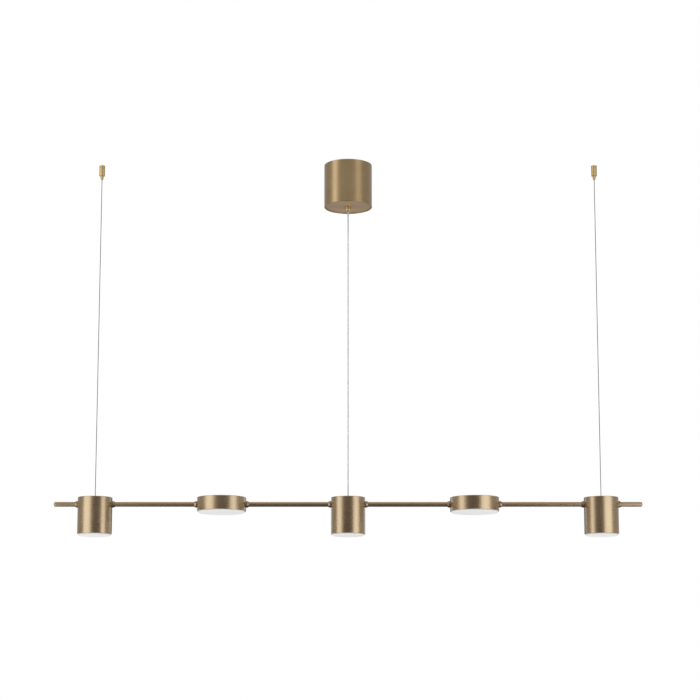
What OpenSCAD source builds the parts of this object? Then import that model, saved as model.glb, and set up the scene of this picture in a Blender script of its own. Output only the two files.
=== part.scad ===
// Pendant light: a straight bar with five lamp heads, hung from the ceiling by two steel wires.
// A feed cable runs from a round canopy to the middle head. Three heads are cylinders and two are
// flat discs that turn on the bar. Millimetres; z = 0 is the ceiling and the bar lies along X.

/* [Hanging] */
// Drop from the ceiling to the tops of the cylinder heads
drop = 700; // [400:10:1500]
// Largest lean of the wires in each direction, in degrees
lean = 8; // [2:1:8]
// Diameter of the steel wires
wire_d = 1.5; // [1:0.1:1.6]
// Diameter of the feed cable
cable_d = 3; // [2.4:0.1:3.2]

/* [Bar] */
// Overall length of the bar over its rounded ends
bar_length = 1200; // [1170:5:1400]
// Diameter of the rods
rod_d = 10; // [9.4:0.2:11]
// Wall of the rods
rod_wall = 0.9; // [0.7:0.1:1.1]
// Distance between the centres of neighbouring heads
head_pitch = 258; // [200:2:264]
// Depth of the rod axis below the tops of the cylinder heads
rod_drop = 14; // [14:0.5:18]
// Wall of the tubes that pass through the heads
axle_wall = 1; // [0.8:0.1:1.2]
// How far a head's tube reaches into each rod
axle_reach = 10; // [6:1:15]
// Large diameter of the conical collars
collar_d = 14; // [13:0.5:15]
// Length of the conical collars
collar_length = 4.5; // [3:0.5:8]

/* [Cylinder heads] */
// Diameter of the cylinder heads
cyl_d = 70; // [66:1:80]
// Height of the cylinder heads
cyl_h = 75; // [66:1:120]
// Wall at the mouth of the cylinder heads
cyl_wall = 2; // [1.4:0.2:2.4]
// Depth of the lamp unit's seat above the mouth
lamp_room = 25; // [22:1:30]

/* [Disc heads] */
// Diameter of the disc heads
disc_d = 100; // [96:1:130]
// Height of the disc heads
disc_h = 28; // [27:0.5:34]
// Wall of the disc heads
disc_wall = 2; // [1.4:0.2:2.4]

/* [Lamp units] */
// How far the opal diffusers stand out below the heads
diffuser_drop = 3.5; // [3:0.5:8]
// Wall of the diffusers
diffuser_wall = 2; // [1.2:0.2:2.4]
// Thickness of the heads' top plates
top_plate = 2.5; // [2:0.5:3]
// Thickness of the lamp boards
board_t = 1.6; // [1:0.2:2]
// Thickness of the heat sink plates in the cylinder heads
sink_t = 6; // [4:0.5:7]
// Thickness of the carrier plates in the disc heads
carrier_t = 2; // [1.5:0.1:2.2]

/* [Canopy] */
// Diameter of the canopy
canopy_d = 100; // [98:1:140]
// Height of the canopy
canopy_h = 90; // [86:1:140]
// Wall of the canopy
canopy_wall = 1.5; // [1:0.1:2]
// Width of the rim that shows round the base plate
canopy_rim = 2.5; // [2.4:0.1:4]
// Thickness of the base plate
base_plate_t = 2; // [1.5:0.1:3]
// Distance between the two ceiling screw slots of the bracket
slot_pitch = 60; // [56:1:64]
// Width of the ceiling screw slots
slot_w = 4.5; // [4:0.1:5.5]
// Length of the ceiling screw slots
slot_length = 12; // [9:0.5:14]
// Thickness of the bracket
bracket_t = 1.5; // [1.2:0.1:2]

/* [Wire grippers] */
// Diameter of the wire grippers
gripper_d = 12; // [11.6:0.2:15]
// Length of the wire grippers from the ceiling to the release nose
gripper_h = 22; // [22:0.5:30]
// Length of the release noses below the grippers
nose_h = 8; // [7.5:0.5:12]
// Diameter of the ceiling screw holes in the gripper bases
anchor_hole_d = 4.4; // [4:0.1:4.8]
// Travel of the release noses
nose_travel = 2; // [1:0.5:2]

/* [Hidden] */
$fn = 64;

// Clearances
seat_gap = 0.1;
run_gap = 0.05;
swing_gap = 0.15;
thread_gap = 0.05;

// Heights and places along the bar
head_top = -drop;
rod_z = -drop - rod_drop;
rod_r = rod_d / 2;
axle_r = rod_r - rod_wall - seat_gap;
cyl_r = cyl_d / 2;
disc_r = disc_d / 2;
collar_r = collar_d / 2;
collar_tip_r = rod_r + 0.4;
cyl_bottom = head_top - cyl_h;
disc_top = rod_z + disc_h / 2;
disc_bottom = rod_z - disc_h / 2;
wire_x = 2 * head_pitch;
cyl_places = [-2 * head_pitch, 0, 2 * head_pitch];
disc_places = [-head_pitch, head_pitch];
board_chip_h = 0.8;

// Joints between the heads and the rods, outward from a head's wall
pad_h = 0.5;
washer_t = 0.5;
washer_r = collar_r - 0.8;
pad_depth = 6;
collar_in = pad_h + seat_gap + washer_t;
collar_out = collar_in + collar_length;
nut_flat = 13;
nut_h = 4;

// Wires and their pivots: balls just inside the release noses and under the heads' bushes
wire_r = wire_d / 2;
wire_ball_r = wire_r + 0.35;
gripper_r = gripper_d / 2;
nose_tip_z = -gripper_h - nose_h;
wire_pivot_z = nose_tip_z + 2.5;
both_lean = acos(cos(lean) * cos(lean));
stop_ball_r = 1.8;
stop_z = head_top - 6.5;

// Feed cable, its pivot in the cord grip and its loose end in the middle head
cable_r = cable_d / 2;
cable_end = head_top - 4;
base_z = -canopy_h + 1.2;
base_top = base_z + base_plate_t;
grip_r = 6;
grip_h = 10;
grip_bottom = base_z - grip_h;
cable_pivot_z = grip_bottom + 3;
cable_ball_r = cable_r + 0.6;
cable_lean = both_lean * 1.125;

// Points on an arc from angle a to angle b, in n steps
function arc(cx, cy, r, a, b, n) = [for (i = [0:n]) [cx + r * cos(a + (b - a) * i / n), cy + r * sin(a + (b - a) * i / n)]];

// Radius of a mouth that lets a round line of radius r lean by an angle about a point at a depth inside
function mouth(r, depth, angle) = r / cos(angle) + depth * tan(angle) + swing_gap;

// One point of a smooth curve through the points p, at a fraction t of stretch i
function smooth(p, i, t) = let (n = len(p) - 1, a = p[max(i - 1, 0)], b = p[i], c = p[i + 1], d = p[min(i + 2, n)])
    0.5 * (2 * b + (c - a) * t + (2 * a - 5 * b + 4 * c - d) * t * t + (3 * b - a - 3 * c + d) * t * t * t);
function smooth_path(p, steps) = concat([for (i = [0:len(p) - 2]) for (k = [0:steps - 1]) smooth(p, i, k / steps)], [p[len(p) - 1]]);
function unit(v) = v / norm(v);

// A tube of radius r along a path whose direction is never that of the vector side
module swept(path, r, side, sides = 8) {
    last = len(path) - 1;
    points = [for (i = [0:last]) let (t = unit(path[min(i + 1, last)] - path[max(i - 1, 0)]), u = unit(cross(side, t)), v = cross(t, u))
        for (k = [0:sides - 1]) path[i] + r * cos(360 * k / sides) * u + r * sin(360 * k / sides) * v];
    walls = [for (i = [0:last - 1]) for (k = [0:sides - 1]) let (a = i * sides + k, b = i * sides + (k + 1) % sides)
        for (f = [[a, a + sides, b], [b, a + sides, b + sides]]) f];
    caps = [for (k = [1:sides - 2]) for (f = [[0, k, k + 1], [last * sides, last * sides + k + 1, last * sides + k]]) f];
    polyhedron(points = points, faces = concat(walls, caps));
}

// A solid of revolution from an outline of radius and height
module turned(outline) {
    rotate_extrude()
        polygon(outline);
}

// A tube between two places along X, centred on the rod axis
module rod_tube(x0, x1, outer_r, bore_r) {
    translate([x0, 0, rod_z])
        rotate([0, 90, 0])
            difference() {
                cylinder(h = x1 - x0, r = outer_r);
                translate([0, 0, -1])
                    cylinder(h = x1 - x0 + 2, r = bore_r);
            }
}

// Its child at both ends of a head of radius r at x, pointing outwards along X
module both_sides(x, r) {
    for (s = [0, 180])
        translate([x, 0, rod_z])
            rotate([0, 0, s])
                translate([r, 0, 0])
                    rotate([0, 90, 0])
                        children();
}

// Canopy

bracket_w = 22;
tab_w = 14;
tab_h = 14;
tab_x = sqrt(pow(canopy_d / 2 - canopy_wall - 0.2, 2) - pow(tab_w / 2, 2));
side_screw_z = -8;
side_screw_r = 2;
cable_hole_r = 5.5;
block_x = -16;
block_size = [20, 16, 12];
peg_r = 2.4;
earth_x = 15;

module slot_cut(x) {
    translate([x, 0, -bracket_t - 1])
        linear_extrude(height = bracket_t + 2)
            union() {
                square([slot_length - slot_w, slot_w], center = true);
                for (s = [-1, 1])
                    translate([s * (slot_length - slot_w) / 2, 0])
                        circle(d = slot_w);
            }
}

module ceiling_bracket() {
    color("silver")
        difference() {
            union() {
                translate([-tab_x + 6, -bracket_w / 2, -bracket_t])
                    cube([2 * tab_x - 12, bracket_w, bracket_t]);
                for (s = [0, 180])
                    rotate([0, 0, s])
                        translate([tab_x - 6, -tab_w / 2, -bracket_t])
                            cube([6, tab_w, bracket_t]);
                for (s = [0, 180])
                    rotate([0, 0, s])
                        translate([tab_x - bracket_t, -tab_w / 2, -tab_h])
                            cube([bracket_t, tab_w, tab_h]);
            }
            for (s = [-1, 1])
                slot_cut(s * slot_pitch / 2);
            translate([0, 0, -bracket_t - 1])
                cylinder(h = bracket_t + 2, r = cable_hole_r);
            translate([block_x, 0, -bracket_t - 1])
                cylinder(h = bracket_t + 2, r = peg_r + seat_gap);
            translate([earth_x, 0, -bracket_t - 1])
                cylinder(h = bracket_t + 2, r = 1.5 + thread_gap);
            for (s = [0, 180])
                rotate([0, 0, s])
                    translate([tab_x - bracket_t - 1, 0, side_screw_z])
                        rotate([0, 90, 0])
                            cylinder(h = bracket_t + 2, r = side_screw_r);
        }
}

module earth_screw() {
    color("gold")
        translate([earth_x, 0, 0])
            difference() {
                union() {
                    translate([0, 0, -bracket_t - 5])
                        cylinder(h = bracket_t + 4.7, r = 1.5);
                    translate([0, 0, -bracket_t - 6.5])
                        cylinder(h = 2.5, r = 3);
                    translate([0, 0, -bracket_t - 2])
                        cylinder(h = 2, r = 4);
                }
                translate([-0.4, -4, -bracket_t - 7])
                    cube([0.8, 8, 1.5]);
            }
}

module terminal_block() {
    block_top = -bracket_t - seat_gap;
    color("white")
        translate([block_x, 0, block_top])
            difference() {
                union() {
                    translate([-block_size.x / 2, -block_size.y / 2, -block_size.z])
                        cube(block_size);
                    translate([0, 0, -1])
                        cylinder(h = bracket_t + 0.8, r = peg_r);
                }
                for (i = [-1:1])
                    translate([i * 6.4, 0, 0]) {
                        translate([0, -block_size.y, entry_z - block_top])
                            rotate([-90, 0, 0])
                                cylinder(h = 2 * block_size.y, r = 1.6);
                        for (s = [-1, 1])
                            translate([0, s * 4.2, -block_size.z - 1])
                                cylinder(h = 5.5, r = 1.7);
                    }
            }
}

module canopy_tube() {
    r = canopy_d / 2;
    bore = r - canopy_wall;
    outline = concat(
        [[bore, 0], [r, 0]],
        [[r, -canopy_h + 0.8]],
        arc(r - 0.8, -canopy_h + 0.8, 0.8, -30, -90, 2),
        [[r - canopy_rim, -canopy_h], [r - canopy_rim, base_z - 0.02], [bore, base_z - 0.02]]);
    color("darkgoldenrod")
        difference() {
            turned(outline);
            for (s = [0, 180])
                rotate([0, 0, s])
                    translate([bore - 2, 0, side_screw_z])
                        rotate([0, 90, 0]) {
                            cylinder(h = 6, r = side_screw_r + seat_gap);
                            translate([0, 0, 2])
                                cylinder(h = canopy_wall, r1 = side_screw_r + seat_gap, r2 = 3.6 + seat_gap);
                        }
        }
}

module canopy_side_screws() {
    bore = canopy_d / 2 - canopy_wall;
    color("darkgoldenrod")
        for (s = [0, 180])
            rotate([0, 0, s])
                translate([0, 0, side_screw_z])
                    rotate([0, 90, 0])
                        difference() {
                            union() {
                                translate([0, 0, tab_x - bracket_t - 3])
                                    cylinder(h = bore - tab_x + bracket_t + 3.3, r = side_screw_r - thread_gap);
                                translate([0, 0, bore])
                                    cylinder(h = canopy_wall - 0.1, r1 = side_screw_r - thread_gap, r2 = 3.5);
                            }
                            translate([0, 0, bore + canopy_wall - 1.2])
                                cylinder(h = 3, r = 1.2, $fn = 6);
                        }
}

module canopy_base_plate() {
    color("goldenrod")
        difference() {
            translate([0, 0, base_z])
                cylinder(h = base_plate_t, r = canopy_d / 2 - canopy_wall - seat_gap);
            translate([0, 0, base_z - 1])
                cylinder(h = base_plate_t + 2, r = 5 + seat_gap);
        }
}

// Driver

driver_size = [46, 24, 58];
driver_y = 14;
driver_wall = 1.5;
lead_x = 13;
lead_r = 2;

module driver_case() {
    color("whitesmoke")
        difference() {
            translate([-driver_size.x / 2, driver_y, base_top])
                cube(driver_size);
            translate([-driver_size.x / 2 + driver_wall, driver_y - 1, base_top + driver_wall])
                cube([driver_size.x - 2 * driver_wall, driver_size.y - driver_wall + 1, driver_size.z - 2 * driver_wall]);
        }
}

module driver_lid() {
    inner = [driver_size.x - 2 * driver_wall - 2 * seat_gap, driver_wall, driver_size.z - 2 * driver_wall - 2 * seat_gap];
    color("white")
        difference() {
            translate([-inner.x / 2, driver_y, base_top + driver_wall + seat_gap])
                cube(inner);
            for (i = [0:4])
                translate([-12, driver_y - 1, base_top + 18 + 6 * i])
                    cube([24, driver_wall + 2, 2]);
        }
}

module driver_board() {
    inner_x = driver_size.x - 2 * driver_wall - 2 * seat_gap;
    back_y = driver_y + driver_size.y - driver_wall - 4;
    low_z = base_top + driver_wall + seat_gap;
    color("seagreen") {
        translate([-inner_x / 2, back_y, low_z])
            cube([inner_x, 1.6, driver_size.z - 2 * driver_wall - 2 * seat_gap]);
        translate([-12, back_y - 12, low_z + 18])
            cube([22, 12.5, 18]);
        for (i = [0:1])
            translate([-10 + 18 * i, back_y - 7, low_z + 4])
                cylinder(h = 12, r = 4.5);
        for (i = [0:1])
            translate([-10 + 18 * i, back_y - 3.5, low_z + 5])
                cube([2, 4, 10]);
    }
}

// Leads in the canopy: the mains lead into the driver, and the feed cable's tail out of it
driver_top = base_top + driver_size.z;
lead_y = driver_y + driver_size.y / 2;
entry_z = -bracket_t - seat_gap - 6.5;
input_route = [
    [block_x, block_size.y / 2 + 0.2, entry_z], [block_x, 12, entry_z], [block_x, 18, -9], [block_x, 24, -12],
    [block_x, lead_y, -19], [block_x, lead_y, driver_top + 0.2]];
tail_route = [
    [0, 0, grip_bottom + 5.8], [0, 0, grip_bottom + 16], [0, 0, -70], [0, -1, -58], [2, -4, -46], [6, -6, -34],
    [10, -4, -24], [lead_x, 4, -17], [lead_x, 14, -14], [lead_x, lead_y - 2, -17], [lead_x, lead_y, -22],
    [lead_x, lead_y, driver_top + 0.2]];

module driver_input_lead() {
    color("white")
        swept(smooth_path(input_route, 3), lead_r, [1, 0, 0]);
}

module feed_cable_tail() {
    color("gainsboro")
        swept(smooth_path(tail_route, 3), cable_r, [1, 0, 0]);
}

// Cord grip under the base plate

nipple_r = 5;
nipple_bore = 3.6;
nipple_bottom = base_z - 2.7;
sleeve_bottom = cable_pivot_z + cable_ball_r + 0.1;

module grip_nipple() {
    color("gold")
        translate([0, 0, nipple_bottom])
            difference() {
                cylinder(h = base_top + 7 - nipple_bottom, r = nipple_r);
                translate([0, 0, -1])
                    cylinder(h = base_top + 9 - nipple_bottom, r = nipple_bore);
            }
}

module grip_lock_nut() {
    color("gold")
        translate([0, 0, base_top])
            difference() {
                cylinder(h = 3, d = 14 / cos(30), $fn = 6);
                translate([0, 0, -1])
                    cylinder(h = 5, r = nipple_r + thread_gap);
            }
}

module grip_body() {
    throat = mouth(cable_r, 1.2, cable_lean);
    seat_z = cable_pivot_z - 1.2;
    outline = concat(
        [[nipple_r + thread_gap, base_z], [grip_r, base_z]],
        arc(grip_r - 4, grip_bottom + 4, 4, 0, -84, 5),
        [[mouth(cable_r, 3, cable_lean), grip_bottom], [throat, seat_z], [nipple_bore, seat_z + 1.5]],
        [[nipple_bore, nipple_bottom - 0.1], [nipple_r + thread_gap, nipple_bottom - 0.1]]);
    color("darkgoldenrod")
        difference() {
            turned(outline);
            translate([0, 0, nipple_bottom - 1.7])
                rotate([90, 0, 0])
                    cylinder(h = grip_r + 1, r = 1 + thread_gap);
        }
}

module grip_sleeve() {
    color("white")
        translate([0, 0, sleeve_bottom])
            difference() {
                cylinder(h = base_top - sleeve_bottom, r = nipple_bore - seat_gap);
                translate([0, 0, -1])
                    cylinder(h = base_top - sleeve_bottom + 2, r = cable_r + run_gap);
            }
}

module grip_grub_screw() {
    color("dimgray")
        translate([0, -nipple_bore - 0.1, nipple_bottom - 1.7])
            rotate([90, 0, 0])
                difference() {
                    cylinder(h = grip_r - nipple_bore - 0.3, r = 1);
                    translate([0, 0, grip_r - nipple_bore - 1.1])
                        cylinder(h = 2, r = 0.5, $fn = 6);
                }
}

module cable_swivel_ball() {
    color("gainsboro")
        translate([0, 0, cable_pivot_z])
            sphere(r = cable_ball_r);
}

module feed_cable() {
    top = cable_pivot_z - cable_ball_r - swing_gap;
    color("gainsboro")
        translate([0, 0, cable_end])
            cylinder(h = top - cable_end, r = cable_r);
}

// Wire grippers: a base screwed to the ceiling, a threaded body with a tapered bore, and a sprung nose
// that carries three balls. Load pulls the balls down the taper onto the wire, and a push on the nose frees it.

anchor_flange = 2;
spigot_h = 4.5;
spigot_r = gripper_r - 1.3;
anchor_wall = 2.6;
socket_r = spigot_r + thread_gap;
web_z = -anchor_flange - spigot_h - 0.3;
chamber_z = web_z - 1;
ball_r = 1;
ball_place = wire_r + ball_r + run_gap;
taper_low_z = -gripper_h + nose_travel + 0.5;
taper_half_h = 3;
taper_slope = 0.15;
ball_z = taper_low_z + taper_half_h;
taper_top_z = ball_z + taper_half_h;
taper_mid_r = ball_place + (ball_r + 0.04) * sqrt(1 + taper_slope * taper_slope);
taper_top_r = taper_mid_r + taper_slope * taper_half_h;
taper_low_r = taper_mid_r - taper_slope * taper_half_h;
cage_r = taper_low_r - 0.15;
cage_top_z = ball_z + 3.5;
nose_bore = wire_ball_r + 0.2;
shank_r = 3.5;
shank_z = -gripper_h + 0.3;
spring_wire_r = 0.2;
spring_r = cage_r - 2 * spring_wire_r;
spring_turns = 4;

module anchor_base(x) {
    color("goldenrod")
        translate([x, 0, 0])
            difference() {
                union() {
                    translate([0, 0, -anchor_flange])
                        cylinder(h = anchor_flange, r = gripper_r);
                    translate([0, 0, -anchor_flange - spigot_h])
                        cylinder(h = spigot_h + 0.5, r = spigot_r);
                }
                translate([0, 0, -anchor_wall - 1])
                    cylinder(h = anchor_wall + 2, d = anchor_hole_d);
                translate([0, 0, -anchor_flange - spigot_h - 1])
                    cylinder(h = anchor_flange + spigot_h - anchor_wall + 1, r = spigot_r - 0.75);
            }
}

module anchor_bases() {
    for (s = [-1, 1])
        anchor_base(s * wire_x);
}

module gripper_body(x) {
    outline = [
        [socket_r, -anchor_flange], [gripper_r, -anchor_flange], [gripper_r, -gripper_h + 0.4],
        [gripper_r - 0.4, -gripper_h], [shank_r + run_gap, -gripper_h], [shank_r + run_gap, taper_low_z],
        [taper_low_r, taper_low_z], [taper_top_r, taper_top_z], [taper_top_r, chamber_z],
        [wire_r + 0.5, chamber_z], [wire_r + 0.5, web_z], [socket_r, web_z]];
    color("gold")
        translate([x, 0, 0])
            turned(outline);
}

module release_nose(x) {
    outline = [
        [nose_bore, cage_top_z], [cage_r, cage_top_z], [cage_r, shank_z], [shank_r, shank_z],
        [shank_r, -gripper_h - 3], [mouth(wire_r, 2.5, both_lean) + 0.9, nose_tip_z],
        [mouth(wire_r, 2.5, both_lean) + 0.2, nose_tip_z], [nose_bore, nose_tip_z + 1.8]];
    color("gold")
        translate([x, 0, 0])
            difference() {
                turned(outline);
                for (i = [0:2])
                    rotate([0, 0, 120 * i])
                        translate([0.5, 0, ball_z])
                            rotate([0, 90, 0])
                                cylinder(h = 4, r = ball_r + run_gap);
            }
}

module grip_balls(x) {
    color("silver")
        for (i = [0:2])
            translate([x, 0, ball_z])
                rotate([0, 0, 120 * i])
                    translate([ball_place, 0, 0])
                        sphere(r = ball_r);
}

module release_spring(x) {
    low = cage_top_z + spring_wire_r + 0.05;
    high = chamber_z - spring_wire_r - 0.05;
    steps = 10 * spring_turns;
    path = [for (i = [0:steps]) let (a = 360 * spring_turns * i / steps)
        [x + spring_r * cos(a), spring_r * sin(a), low + (high - low) * i / steps]];
    color("silver")
        swept(path, spring_wire_r, [0, 0, 1], 6);
}

module wire_tails() {
    low = wire_pivot_z + wire_ball_r + swing_gap;
    color("silver")
        for (s = [-1, 1])
            translate([s * wire_x, 0, low])
                cylinder(h = web_z - low, r = wire_r);
}

module wire_top_balls() {
    color("silver")
        for (s = [-1, 1])
            translate([s * wire_x, 0, wire_pivot_z])
                sphere(r = wire_ball_r);
}

module wire(x) {
    top = wire_pivot_z - wire_ball_r - swing_gap;
    color("silver")
        translate([x, 0, stop_z]) {
            cylinder(h = top - stop_z, r = wire_r);
            sphere(r = stop_ball_r);
        }
}

// Bushes in the tops of the heads

bush_r = 3.5;
gland_r = 4.5;

module wire_bushes() {
    flange_top = head_top + 0.8;
    depth = flange_top - stop_z;
    outline = [
        [mouth(wire_r, depth, lean), flange_top], [bush_r + 1.1, flange_top], [bush_r + 1.1, head_top],
        [bush_r, head_top], [bush_r, stop_z + 0.5], [wire_r + 0.45, stop_z + 0.5], [wire_r + 0.45, stop_z + 1.3]];
    color("darkgoldenrod")
        for (s = [-1, 1])
            translate([s * wire_x, 0, 0])
                difference() {
                    turned(outline);
                    translate([0, 0, stop_z])
                        sphere(r = stop_ball_r + seat_gap);
                }
}

module cable_gland() {
    outline = [
        [cable_r + 0.85, head_top + 1], [gland_r + 1.5, head_top + 1], [gland_r + 1.5, head_top],
        [gland_r, head_top], [gland_r, head_top - 6], [cable_r + 0.6, head_top - 6]];
    color("gainsboro")
        turned(outline);
}

// Rods, collars and the tubes through the heads

module end_rods() {
    start = 2 * head_pitch + cyl_r + collar_out;
    length = bar_length / 2 - start;
    nose = 3;
    outline = concat(
        [[rod_r - rod_wall, 0], [rod_r, 0]],
        arc(rod_r - nose, length - nose, nose, 0, 90, 6),
        [[0, length], [0, axle_reach + 3], [rod_r - rod_wall, axle_reach + 3]]);
    color("darkgoldenrod")
        for (s = [0, 180])
            rotate([0, 0, s])
                translate([start, 0, rod_z])
                    rotate([0, 90, 0])
                        turned(outline);
}

module link_rods() {
    color("darkgoldenrod")
        for (s = [0, 180])
            rotate([0, 0, s]) {
                rod_tube(cyl_r + collar_out, head_pitch - disc_r - collar_out, rod_r, rod_r - rod_wall);
                rod_tube(head_pitch + disc_r + collar_out, 2 * head_pitch - cyl_r - collar_out, rod_r, rod_r - rod_wall);
            }
}

module collar() {
    color("darkgoldenrod")
        translate([0, 0, collar_in])
            turned([
                [axle_r + thread_gap, 0], [collar_r - 0.3, 0], [collar_r, 0.3], [collar_r, 0.9],
                [collar_tip_r, collar_length], [axle_r + thread_gap, collar_length]]);
}

module rod_collars() {
    for (x = cyl_places)
        both_sides(x, cyl_r)
            collar();
    for (x = disc_places)
        both_sides(x, disc_r)
            collar();
}

module washer() {
    color("dimgray")
        translate([0, 0, pad_h + seat_gap])
            difference() {
                cylinder(h = washer_t, r = washer_r);
                translate([0, 0, -1])
                    cylinder(h = washer_t + 2, r = axle_r + run_gap);
            }
}

module swivel_washers() {
    for (x = cyl_places)
        both_sides(x, cyl_r)
            washer();
    for (x = disc_places)
        both_sides(x, disc_r)
            washer();
}

module through_tube(x, r) {
    reach = r + collar_out + axle_reach;
    color("silver")
        difference() {
            rod_tube(x - reach, x + reach, axle_r, axle_r - axle_wall);
            translate([x - 4, -1.5, rod_z - axle_r - 1])
                cube([8, 3, axle_r]);
        }
}

module cylinder_cross_tubes() {
    for (x = cyl_places)
        through_tube(x, cyl_r);
}

module disc_axles() {
    for (x = disc_places)
        through_tube(x, disc_r);
}

module cross_tube_nuts() {
    color("gold")
        for (x = cyl_places)
            both_sides(x, cyl_r - pad_depth - nut_h)
                difference() {
                    cylinder(h = nut_h, d = nut_flat / cos(30), $fn = 6);
                    translate([0, 0, -1])
                        cylinder(h = nut_h + 2, r = axle_r + thread_gap);
                }
}

module bar_harness() {
    harness_r = 1.4;
    drop_r = 1;
    color("white") {
        translate([-wire_x, 0, rod_z])
            rotate([0, 90, 0])
                cylinder(h = 2 * wire_x, r = harness_r);
        for (x = cyl_places)
            translate([x, 0, board_top])
                cylinder(h = rod_z - harness_r - 0.1 - board_top, r = drop_r);
    }
}

// Cylinder heads

cyl_bore = cyl_r - cyl_wall;
upper_bore = cyl_bore - 2;
sink_top = cyl_bottom + lamp_room;
board_top = sink_top - sink_t;
boss_r = 4;
boss_place = upper_bore - boss_r + 1;
screw_r = 1.45;
bead_h = 1;
bead = 0.3;
edge_r = 1;
cyl_bead = 4.4;
cyl_skirt = 8;

// Outline points of the groove that a diffuser's bead snaps into
function groove(bore, z) = [[bore, z], [bore + bead, z], [bore + bead, z + bead_h], [bore, z + bead_h]];

module cylinder_head(x, hole_r) {
    outline = concat(
        [[0, head_top]],
        arc(cyl_r - edge_r, head_top - edge_r, edge_r, 90, 0, 3),
        [[cyl_r, cyl_bottom + 0.3], [cyl_r - 0.3, cyl_bottom], [cyl_bore, cyl_bottom]],
        groove(cyl_bore, cyl_bottom + cyl_bead),
        [[cyl_bore, sink_top], [upper_bore, sink_top], [upper_bore, head_top - top_plate], [0, head_top - top_plate]]);
    color("darkgoldenrod")
        difference() {
            union() {
                translate([x, 0, 0])
                    turned(outline);
                both_sides(x, cyl_r - pad_depth)
                    cylinder(h = pad_depth + pad_h, r = collar_r);
                for (i = [0:2])
                    translate([x, 0, sink_top])
                        rotate([0, 0, 120 * i + 90])
                            translate([boss_place, 0, 0])
                                cylinder(h = head_top - top_plate / 2 - sink_top, r = boss_r);
            }
            both_sides(x, cyl_r - pad_depth - 1)
                cylinder(h = pad_depth + pad_h + 2, r = axle_r + run_gap);
            translate([x, 0, head_top - top_plate - 1])
                cylinder(h = top_plate + 2, r = hole_r + run_gap);
            for (i = [0:2])
                translate([x, 0, sink_top - 1])
                    rotate([0, 0, 120 * i + 90])
                        translate([boss_place, 0, 0])
                            cylinder(h = 9, r = screw_r + thread_gap);
        }
}

module cylinder_heat_sinks() {
    fin_h = 14;
    color("silver")
        for (x = cyl_places)
            translate([x, 0, sink_top - sink_t])
                difference() {
                    union() {
                        cylinder(h = sink_t, r = cyl_bore - 2 * seat_gap);
                        for (i = [-2, -1, 1, 2])
                            translate([8 * i - 1, -18, sink_t - 1])
                                cube([2, 36, fin_h + 1]);
                    }
                    translate([0, 0, -1])
                        cylinder(h = sink_t + 2, r = 3);
                    for (i = [0:2])
                        rotate([0, 0, 120 * i + 90])
                            translate([boss_place, 0, -1])
                                cylinder(h = sink_t + 2, r = screw_r + seat_gap);
                }
}

// Lamp chips in rings, hanging from a board whose lower face is at z = 0
module chips(rings) {
    for (ring = rings)
        for (i = [0:ring[1] - 1])
            rotate([0, 0, 360 * i / ring[1]])
                translate([ring[0] - 1.5, -1.5, -board_chip_h])
                    cube([3, 3, board_chip_h + 0.2]);
}

module cylinder_led_boards() {
    color("ivory")
        for (x = cyl_places)
            translate([x, 0, board_top - board_t])
                difference() {
                    union() {
                        cylinder(h = board_t, r = cyl_bore - 2);
                        chips([[8, 6], [18, 12]]);
                    }
                    for (i = [0:2])
                        rotate([0, 0, 120 * i + 90])
                            translate([boss_place, 0, -1])
                                cylinder(h = board_t + 2, r = screw_r + seat_gap);
                }
}

module head_board_screws() {
    color("silver")
        for (x = cyl_places)
            for (i = [0:2])
                translate([x, 0, board_top - board_t])
                    rotate([0, 0, 120 * i + 90])
                        translate([boss_place, 0, 0])
                            difference() {
                                union() {
                                    translate([0, 0, -2])
                                        cylinder(h = 2, r = 2.75);
                                    translate([0, 0, -0.5])
                                        cylinder(h = 0.5 + board_t + sink_t + 7, r = screw_r);
                                }
                                translate([-0.4, -3, -2.5])
                                    cube([0.8, 6, 1.3]);
                            }
}

// An opal cup that snaps into a head's bore: its bead and the top of its skirt lie above the head's mouth
module diffuser(x, bore, bottom, bead_up, skirt_up) {
    bead_low = bottom + bead_up;
    r = bore - seat_gap;
    low = bottom - diffuser_drop;
    round_r = min(2.5, diffuser_drop - 0.5);
    outline = concat(
        [[0, low]],
        arc(r - round_r, low + round_r, round_r, -90, 0, 4),
        [[r, bead_low + 0.05], [r + bead, bead_low + 0.2], [r + bead, bead_low + bead_h - 0.2]],
        [[r, bead_low + bead_h - 0.05], [r, bottom + skirt_up], [r - diffuser_wall, bottom + skirt_up]],
        [[r - diffuser_wall, low + diffuser_wall], [0, low + diffuser_wall]]);
    color("white")
        translate([x, 0, 0])
            turned(outline);
}

// Disc heads

disc_bore = disc_r - disc_wall;
carrier_top = rod_z - axle_r - 1.5;
carrier_r = disc_r - 8.5;
disc_board_top = carrier_top - carrier_t;
disc_boss_place = 36;
disc_pad_depth = 8;
disc_bead = 2.4;
disc_skirt = 5.5;

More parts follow.
